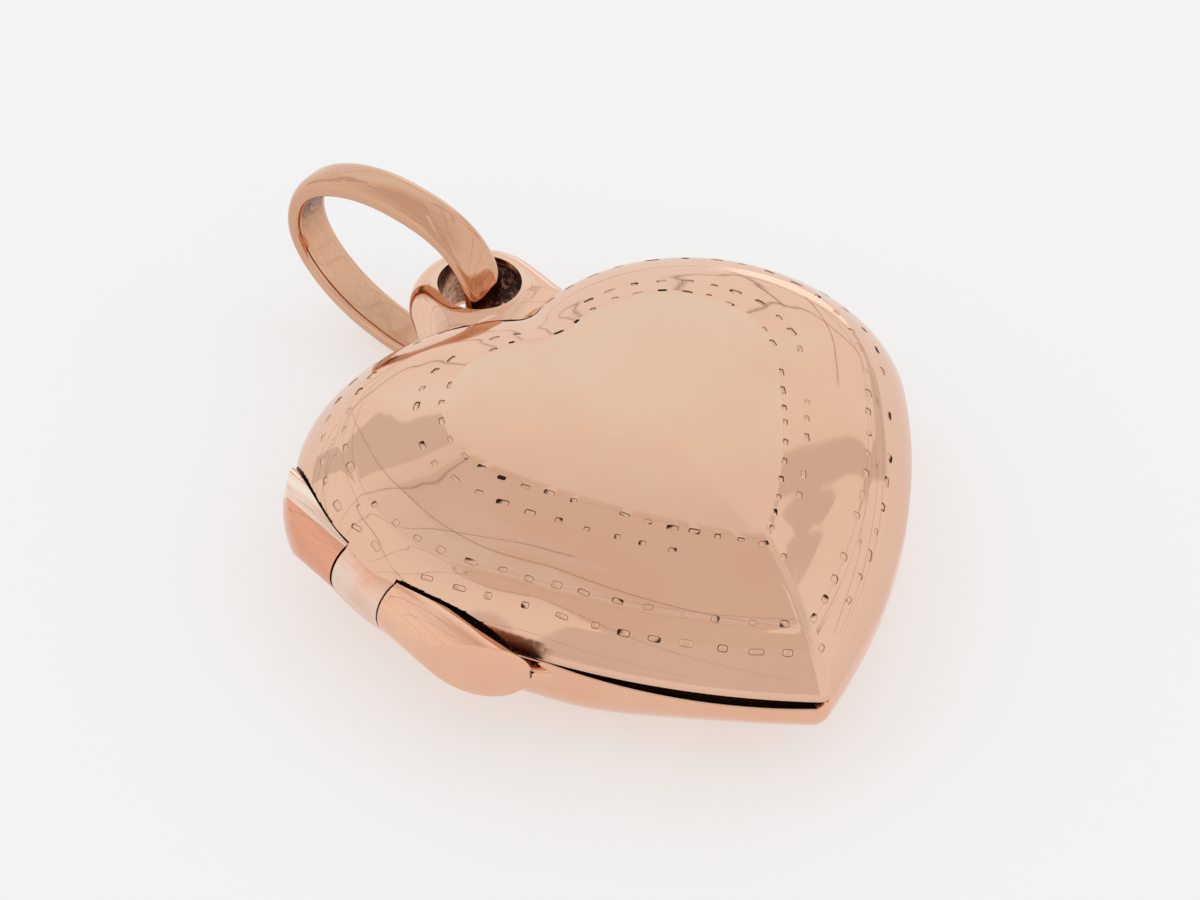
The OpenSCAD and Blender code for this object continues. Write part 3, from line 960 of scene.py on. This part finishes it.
def add_up(tree, masks):
    """The sum of all masks."""
    total = masks[0]
    for mask in masks[1:]:
        total = math_node(tree, "ADD", total, mask)
    return total


def ramp(tree, value, start, end, low=0.0, high=1.0, smooth=True):
    """A value carried from start..end to low..high."""
    n = tree.nodes.new("ShaderNodeMapRange")
    n.interpolation_type = "SMOOTHSTEP" if smooth else "LINEAR"
    n.clamp = True
    wire(tree, value, n.inputs["Value"])
    for name, v in (("From Min", start), ("From Max", end), ("To Min", low), ("To Max", high)):
        n.inputs[name].default_value = v
    return n.outputs["Result"]


def mix_color(tree, factor, a, b):
    """A mix from colour a to colour b. Each input is a socket or a value."""
    n = tree.nodes.new("ShaderNodeMix")
    n.data_type = "RGBA"
    n.clamp_factor = True
    for name, value in (("Factor_Float", factor), ("A_Color", a), ("B_Color", b)):
        socket = next(i for i in n.inputs if i.identifier == name)
        if isinstance(value, (int, float, tuple)):
            socket.default_value = value
        else:
            wire(tree, value, socket)
    return next(o for o in n.outputs if o.identifier == "Result_Color")


# %% A card of cloth on a wall of the tent
def new_group(name, ins, outs):
    """A node group with named sockets. ins: (name, type, value). outs: (name, type)."""
    g = bpy.data.node_groups.new(name, "ShaderNodeTree")
    for label, kind, value in ins:
        s = g.interface.new_socket(label, in_out="INPUT", socket_type=kind)
        if value is not None:
            s.default_value = value
    for label, kind in outs:
        g.interface.new_socket(label, in_out="OUTPUT", socket_type=kind)
    return g, g.nodes.new("NodeGroupInput").outputs, g.nodes.new("NodeGroupOutput").inputs


def soft_box(tree, place, middle, edge, inner):
    """1 where a place is within inner of the middle, 0 beyond the edge, on each axis of the vector."""
    off = math_node(tree, "SUBTRACT", place, middle, VECTOR)
    n = tree.nodes.new("ShaderNodeMapRange")
    n.data_type = "FLOAT_VECTOR"
    n.interpolation_type = "SMOOTHSTEP"
    wire(tree, math_node(tree, "ABSOLUTE", off, kind=VECTOR), n.inputs["Vector"])
    wire(tree, edge, next(i for i in n.inputs if i.identifier == "From_Min_FLOAT3"))
    wire(tree, inner, next(i for i in n.inputs if i.identifier == "From_Max_FLOAT3"))
    return n.outputs["Vector"]


BOX_SOCKETS = [(label, "NodeSocketVector", None) for label in ("Middle", "Edge", "Inner")]
card, gi, go = new_group("tent_card", [
    ("Across", "NodeSocketFloat", 0), ("Up", "NodeSocketFloat", 0), ("Slant", "NodeSocketFloat", 0),
    *BOX_SOCKETS], [("Mask", "NodeSocketFloat")])
place = card.nodes.new("ShaderNodeCombineXYZ")
leaning = math_node(card, "ADD", gi["Across"], math_node(card, "MULTIPLY", gi["Up"], gi["Slant"]))
wire(card, leaning, place.inputs["X"])
wire(card, gi["Up"], place.inputs["Y"])
parts = card.nodes.new("ShaderNodeSeparateXYZ")
wire(card, soft_box(card, place.outputs[0], gi["Middle"], gi["Edge"], gi["Inner"]), parts.inputs[0])
wire(card, math_node(card, "MULTIPLY", parts.outputs["X"], parts.outputs["Y"]), go["Mask"])

# %% Seams that run right across a wall, up to three in one group
SEAM_ENDS = 3.0
seams, gi, go = new_group("tent_seams", [
    ("Across", "NodeSocketFloat", 0), ("Up", "NodeSocketFloat", 0), *BOX_SOCKETS],
    [("Mask", "NodeSocketFloat")])
thrice = seams.nodes.new("ShaderNodeCombineXYZ")
for socket in thrice.inputs:
    wire(seams, gi["Up"], socket)
boxes = soft_box(seams, thrice.outputs[0], gi["Middle"], gi["Edge"], gi["Inner"])
within = math_node(seams, "LESS_THAN", math_node(seams, "ABSOLUTE", gi["Across"]), SEAM_ENDS)
any_seam = math_node(seams, "DOT_PRODUCT", boxes, (1, 1, 1), VECTOR)
wire(seams, math_node(seams, "MULTIPLY", any_seam, within), go["Mask"])

# %% Put the tent up
CLOTH = (0.98, 0.975, 0.965, 1)
OVERHEAD = (0.80, 0.80, 0.80, 1)
PALE = (0.88, 0.885, 0.89, 1)
COOL = (0.96, 1.08, 1.11, 1)
SHADE = (0.79, 0.73, 0.68, 1)
MAUVE = (0.80, 0.76, 0.76, 1)
CORNER = (0.78, 0.75, 0.74, 1)
SEAM = (0.36, 0.28, 0.24, 1)
BRIGHT = (1.45, 1.45, 1.45, 1)
# Columns: wall, left, right, bottom, top, slant, blur of its sides, blur of its ends, colour
CARDS = [
    ("far", -0.50, 0.50, 0.35, 0.98, 0.0, 0.15, 0.28, COOL),
    ("near", -0.86, 0.20, -0.03, 1.02, 0.0, 0.05, 0.04, MAUVE),
    ("top", -0.70, 0.28, -1.02, -0.25, 0.0, 0.04, 0.04, SHADE),
    ("top", -0.30, 0.26, -0.30, 0.97, 0.0, 0.03, 0.24, SHADE),
    ("top", -0.34, -0.10, 0.20, 0.66, 0.3, 0.015, 0.015, MAUVE),
    ("top", 0.02, 0.10, -0.70, 0.30, -0.25, 0.012, 0.03, CLOTH),
    ("far", -1.00, -0.46, 0.62, 1.02, 0.0, 0.012, 0.02, CORNER),
    ("top", -0.95, -0.42, 0.80, 1.02, 0.0, 0.02, 0.01, CORNER),
    ("left", 0.70, 1.02, -0.20, 0.90, 0.0, 0.012, 0.02, CORNER),
    ("far", 1.575, 1.79, 0.35, 0.99, 1.3, 0.01, 0.02, CORNER),
    ("right", 0.84, 1.02, -0.20, 0.60, 0.0, 0.012, 0.02, CORNER),
    ("top", 0.72, 0.85, 0.70, 1.02, 0.0, 0.01, 0.01, CORNER),
    ("far", 0.45, 1.00, -0.02, 0.16, 0.0, 0.02, 0.02, CORNER),
    ("far", 0.55, 0.77, 0.86, 1.02, 0.0, 0.01, 0.02, CORNER),
    ("far", 0.02, 0.028, 0.10, 0.36, -0.65, 0.002, 0.02, SEAM),
    ("far", 0.20, 0.208, 0.12, 0.66, -0.5, 0.002, 0.02, SEAM),
    ("far", 0.05, 0.50, -0.10, 0.16, 0.0, 0.10, 0.08, BRIGHT),
    ("top", -3.00, -0.20, 0.29, 0.300, 0.0, 0.004, 0.004, SEAM),
    ("top", -0.22, -0.209, -3.00, 3.00, 0.5, 0.004, 0.004, SEAM),
    ("top", 0.52, 0.534, -3.00, 3.00, 0.0, 0.005, 0.005, SEAM),
    ("top", -0.80, -0.788, -3.00, 3.00, 0.2, 0.005, 0.005, SEAM),
]
# Seams right across a wall: lower edge, upper edge and blur of each
LEVEL_SEAMS = {"top": [(0.60, 0.612, 0.004), (-0.12, -0.111, 0.003), (-0.46, -0.450, 0.004)],
               "far": [(0.33, 0.342, 0.004), (0.16, 0.170, 0.004), (0.05, 0.058, 0.003)],
               "left": [(0.60, 0.614, 0.005), (0.22, 0.230, 0.004)],
               "right": [(0.55, 0.564, 0.005), (0.25, 0.260, 0.004)]}
print("cards in the tent:", len(CARDS), "and seams:", sum(len(rows) for rows in LEVEL_SEAMS.values()))

# %% Hang the cards
world = bpy.data.worlds.new("light tent")
bpy.context.scene.world = world
world.use_nodes = True
wt = world.node_tree
background = wt.nodes["Background"]
where = wt.nodes.new("ShaderNodeTexCoord")
turned = wt.nodes.new("ShaderNodeMapping")
turned.inputs["Rotation"].default_value[2] = HEART_TURN
wire(wt, where.outputs["Generated"], turned.inputs["Vector"])
axes = wt.nodes.new("ShaderNodeSeparateXYZ")
wire(wt, turned.outputs["Vector"], axes.inputs[0])
ax, ay, az = axes.outputs
minus_x, minus_y = (math_node(wt, "MULTIPLY", s, -1.0) for s in (ax, ay))
NOT_ZERO = 0.001
# The row for a range that isn't used: no ray gets that far down a wall
NOWHERE = (-2000.0, 0.2, 0.1)
WALLS = {}
for wall, across, up, towards in (("near", ax, az, minus_y), ("far", ax, az, ay), ("left", ay, az, minus_x),
                                  ("right", ay, az, ax), ("top", ax, ay, az)):
    deep = math_node(wt, "MAXIMUM", towards, NOT_ZERO)
    WALLS[wall] = [math_node(wt, "DIVIDE", s, deep) for s in (across, up)]


def box_values(ranges):
    """Middle, edge and inner edge of up to three (low, high, blur) ranges, as three vectors."""
    rows = [((low + high) / 2, (high - low) / 2, (high - low) / 2 - blur) for low, high, blur in ranges]
    rows += [NOWHERE] * (3 - len(rows))
    return list(zip(*rows))


def hang(group, wall, ranges, slant=None):
    """A group's mask on a wall of the tent."""
    n = wt.nodes.new("ShaderNodeGroup")
    n.node_tree = group
    for label, source in zip(("Across", "Up"), WALLS[wall]):
        wire(wt, source, n.inputs[label])
    for label, value in zip(("Middle", "Edge", "Inner"), box_values(ranges)):
        n.inputs[label].default_value = value
    if slant is not None:
        n.inputs["Slant"].default_value = slant
    return n.outputs["Mask"]


tone = mix_color(wt, ramp(wt, az, 0.55, 1.0), CLOTH, OVERHEAD)
for colour, rows in groupby(CARDS, key=lambda row: row[-1]):
    masks = [hang(card, wall, [(left, right, side_blur), (bottom, top, end_blur)], slant)
             for wall, left, right, bottom, top, slant, side_blur, end_blur, _ in rows]
    tone = mix_color(wt, add_up(wt, masks), tone, colour)
masks = [hang(seams, wall, ranges) for wall, ranges in LEVEL_SEAMS.items()]
tone = mix_color(wt, add_up(wt, masks), tone, SEAM)

# %% Let the camera see plain cloth, and leave out what the floor hides
seen = wt.nodes.new("ShaderNodeLightPath").outputs["Is Camera Ray"]
wire(wt, mix_color(wt, seen, tone, PALE), background.inputs["Color"])
hidden = wt.nodes.new("ShaderNodeBackground")
wire(wt, mix_color(wt, seen, CLOTH, PALE), hidden.inputs["Color"])
either = wt.nodes.new("ShaderNodeMixShader")
wire(wt, math_node(wt, "GREATER_THAN", az, 0.0), either.inputs["Fac"])
wire(wt, hidden.outputs[0], either.inputs[1])
wire(wt, background.outputs[0], either.inputs[2])
wire(wt, either.outputs[0], wt.nodes["World Output"].inputs["Surface"])
print("nodes in the tent:", len(wt.nodes))

# %% [markdown]
# ## The floor
#
# The locket lies on plain white card. In the tent the card is lit from all round and throws light back up,
# so the floor is a plane that glows a little, warm, under a cool colour. In full light the two add up to a
# pale neutral ground, and in the shadow under the locket the warm glow is what is left.

# %% Lay the floor
bpy.ops.object.select_all(action="DESELECT")
bpy.ops.mesh.primitive_plane_add(size=2.0, location=(0, 0, 0))
floor = bpy.context.object
floor.name = "floor"
table = bpy.data.materials.new("white table")
table.use_nodes = True
shader = table.node_tree.nodes["Principled BSDF"]
shader.inputs["Base Color"].default_value = (0.33, 0.46, 0.52, 1)
shader.inputs["Roughness"].default_value = 0.6
shader.inputs["Specular IOR Level"].default_value = 0.2
shader.inputs["Emission Color"].default_value = (0.60, 0.50, 0.46, 1)
shader.inputs["Emission Strength"].default_value = 1.0
floor.data.materials.append(table)
bpy.context.scene.view_settings.view_transform = "Standard"

# %% [markdown]
# ## The metal
#
# Rose gold is gold with copper in it. Polished, it shows the tent almost unchanged, only rosier. Real old
# gold isn't even, though: it is a little redder or paler in soft patches, and it carries fine hairlines from
# wear. Dirt stays in the punched pits. The loop's hole and the inside of the bail are painted darker, and
# the faces in the gaps of the hinge, the lid's inner edge and the back's ledge carry painted shade. The
# first group below gives the patches, the second the hairlines, and the third lays the dirt and the painted
# shade over a colour. The pieces carry this darkening as a number on their points. Of the long knuckles the
# upper one is painted redder, with a pale stripe along its top: both are painted reflections.

# %% Groups for patches, hairlines, and dirt with painted shade
def noise(tree, vector, scale, detail=2.0, rough=0.5):
    n = tree.nodes.new("ShaderNodeTexNoise")
    n.inputs["Scale"].default_value = scale
    n.inputs["Detail"].default_value = detail
    n.inputs["Roughness"].default_value = rough
    wire(tree, vector, n.inputs["Vector"])
    return n.outputs["Fac"]


patches, gi, go = new_group("alloy_patches", [
    ("Place", "NodeSocketVector", None), ("Pale", "NodeSocketColor", None),
    ("Deep", "NodeSocketColor", None), ("Amount", "NodeSocketFloat", 0.5)], [("Color", "NodeSocketColor")])
wide = ramp(patches, noise(patches, gi["Place"], 170, 2.0), 0.38, 0.66)
fine = ramp(patches, noise(patches, gi["Place"], 900, 3.0, 0.6), 0.3, 0.75, 0.0, 0.35)
spread = math_node(patches, "MINIMUM", math_node(patches, "ADD", wide, fine), 1.0)
both = math_node(patches, "MULTIPLY", spread, gi["Amount"])
wire(patches, mix_color(patches, both, gi["Pale"], gi["Deep"]), go["Color"])

hairlines, gi, go = new_group("hairlines", [
    ("Place", "NodeSocketVector", None)], [("Height", "NodeSocketFloat")])
lines = None
for k, (stretch, turn_by) in enumerate((((60, 1.6, 8), 0.4), ((1.8, 55, 8), 1.1), ((50, 2.2, 9), 2.3))):
    m = hairlines.nodes.new("ShaderNodeMapping")
    m.inputs["Rotation"].default_value = (0.2 * k, 0.1, turn_by)
    m.inputs["Scale"].default_value = stretch
    wire(hairlines, gi["Place"], m.inputs["Vector"])
    line = ramp(hairlines, noise(hairlines, m.outputs["Vector"], 240, 1.0), 0.70, 0.78)
    lines = line if lines is None else math_node(hairlines, "MAXIMUM", lines, line)
wire(hairlines, math_node(hairlines, "SUBTRACT", 1.0, lines), go["Height"])

# Darkens a colour by the number on the points: dirt in the pits, painted shade in the gaps and at the edges
dirt_shade_group, gi, go = new_group("dirt_with_painted_shade", [
    ("Place", "NodeSocketVector", None), ("Clean", "NodeSocketColor", None), ("Dirt_Shade", "NodeSocketFloat", 0)],
    [("Color", "NodeSocketColor"), ("Cover", "NodeSocketFloat"), ("Shine", "NodeSocketFloat")])
broken = ramp(dirt_shade_group, noise(dirt_shade_group, gi["Place"], 6500, 3.0, 0.6), 0.3, 0.7, 0.65, 1.3)
amount = math_node(dirt_shade_group, "MINIMUM", math_node(dirt_shade_group, "MULTIPLY", gi["Dirt_Shade"], broken), 1.0)
brown = mix_color(dirt_shade_group, ramp(dirt_shade_group, amount, 0.0, 0.5), gi["Clean"], (0.3, 0.155, 0.095, 1))
black = mix_color(dirt_shade_group, ramp(dirt_shade_group, amount, 0.5, 0.75), brown, (0.022, 0.013, 0.009, 1))
wire(dirt_shade_group, black, go["Color"])
wire(dirt_shade_group, amount, go["Cover"])
wire(dirt_shade_group, ramp(dirt_shade_group, amount, 0.5, 0.95, 1.0, 0.15), go["Shine"])
print("groups:", [g.name for g in bpy.data.node_groups])


# %% One recipe for every piece of gold
def gold(name, pale, deep, patch=0.5, polish=0.045, hair=0.35):
    """pale, deep: the alloy's two tones. patch: how much they show. polish: roughness. hair: hairlines."""
    m = bpy.data.materials.new(name)
    m.use_nodes = True
    t = m.node_tree
    shader = t.nodes["Principled BSDF"]
    place = t.nodes.new("ShaderNodeTexCoord").outputs["Object"]
    dirt_and_shade = t.nodes.new("ShaderNodeAttribute")
    dirt_and_shade.attribute_name = "dirt_and_shade"
    a = t.nodes.new("ShaderNodeGroup")
    a.node_tree = patches
    wire(t, place, a.inputs["Place"])
    a.inputs["Pale"].default_value = pale
    a.inputs["Deep"].default_value = deep
    a.inputs["Amount"].default_value = patch
    b = t.nodes.new("ShaderNodeGroup")
    b.node_tree = dirt_shade_group
    wire(t, place, b.inputs["Place"])
    wire(t, a.outputs["Color"], b.inputs["Clean"])
    wire(t, dirt_and_shade.outputs["Fac"], b.inputs["Dirt_Shade"])
    wire(t, b.outputs["Color"], shader.inputs["Base Color"])
    wire(t, b.outputs["Shine"], shader.inputs["Metallic"])
    wire(t, ramp(t, b.outputs["Cover"], 0.0, 0.8, polish, 0.5, smooth=False), shader.inputs["Roughness"])
    c = t.nodes.new("ShaderNodeGroup")
    c.node_tree = hairlines
    wire(t, place, c.inputs["Place"])
    bump = t.nodes.new("ShaderNodeBump")
    bump.inputs["Strength"].default_value = hair
    bump.inputs["Distance"].default_value = 0.0006 * MM
    wire(t, c.outputs["Height"], bump.inputs["Height"])
    wire(t, bump.outputs["Normal"], shader.inputs["Normal"])
    shader.inputs["Specular IOR Level"].default_value = 0.15
    return m


# %% Give each piece its gold
LID_PALE, LID_DEEP = (0.80, 0.515, 0.37, 1), (0.77, 0.46, 0.32, 1)
BACK_PALE, BACK_DEEP = (0.86, 0.53, 0.37, 1), (0.82, 0.43, 0.28, 1)
BAIL_PALE, BAIL_DEEP = (0.72, 0.44, 0.29, 1), (0.66, 0.36, 0.23, 1)
LOOP_PALE, LOOP_DEEP = (0.85, 0.57, 0.425, 1), (0.81, 0.50, 0.36, 1)
lid_gold = gold("polished rose gold of the lid", LID_PALE, LID_DEEP, 0.45)
back_gold = gold("polished rose gold of the back", BACK_PALE, BACK_DEEP, 0.5)
loop_gold = gold("paler gold of the loop", LOOP_PALE, LOOP_DEEP, 0.5)
bail_gold = gold("polished rose gold of the bail", BAIL_PALE, BAIL_DEEP, 0.6, hair=0.5)
knuckle_gold = gold("worn pale gold of the lid's knuckle", (0.84, 0.72, 0.63, 1), BACK_DEEP, 0.9, 0.12, 0.8)
pin_gold = gold("drawn gold wire of the pin", (0.72, 0.48, 0.36, 1), (0.6, 0.38, 0.28, 1), 0.8, 0.22, 1.0)
# The upper knuckle's redder gold and the pale stripe on its top are painted reflections
reflection_red_gold = gold("upper knuckle's gold, painted redder as a reflection", (0.79, 0.40, 0.26, 1), (0.76, 0.33, 0.21, 1), 0.6,
                hair=0.2)
reflection_pale_gold = gold("painted pale reflection on top of the upper knuckle", (0.92, 0.71, 0.58, 1), (0.88, 0.63, 0.50, 1), 0.6,
                hair=0.2)
FINISH = {"lid_sheet": lid_gold, "centre_knuckle": knuckle_gold, "back_sheet": back_gold,
          "upper_knuckle": reflection_red_gold, "lower_knuckle": back_gold, "hinge_solder": back_gold,
          "soldered_loop": loop_gold, "bail_band": bail_gold}
for piece, finish in FINISH.items():
    bpy.data.objects[piece].data.materials.clear()
    bpy.data.objects[piece].data.materials.append(finish)

# %% A painted pale reflection along the top of the upper knuckle, and the pin
PAINTED_REFLECTION_FROM = math.radians(66)
upper_knuckle.data.materials.append(reflection_pale_gold)
for face in upper_knuckle.data.polygons:
    q = on_hinge(face.center / MM)
    face.material_index = 1 if math.atan2(-q.y, q.x) > PAINTED_REFLECTION_FROM else 0
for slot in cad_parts["hinge_pin"].material_slots:
    slot.material = pin_gold
print("finishes:", len(bpy.data.materials))
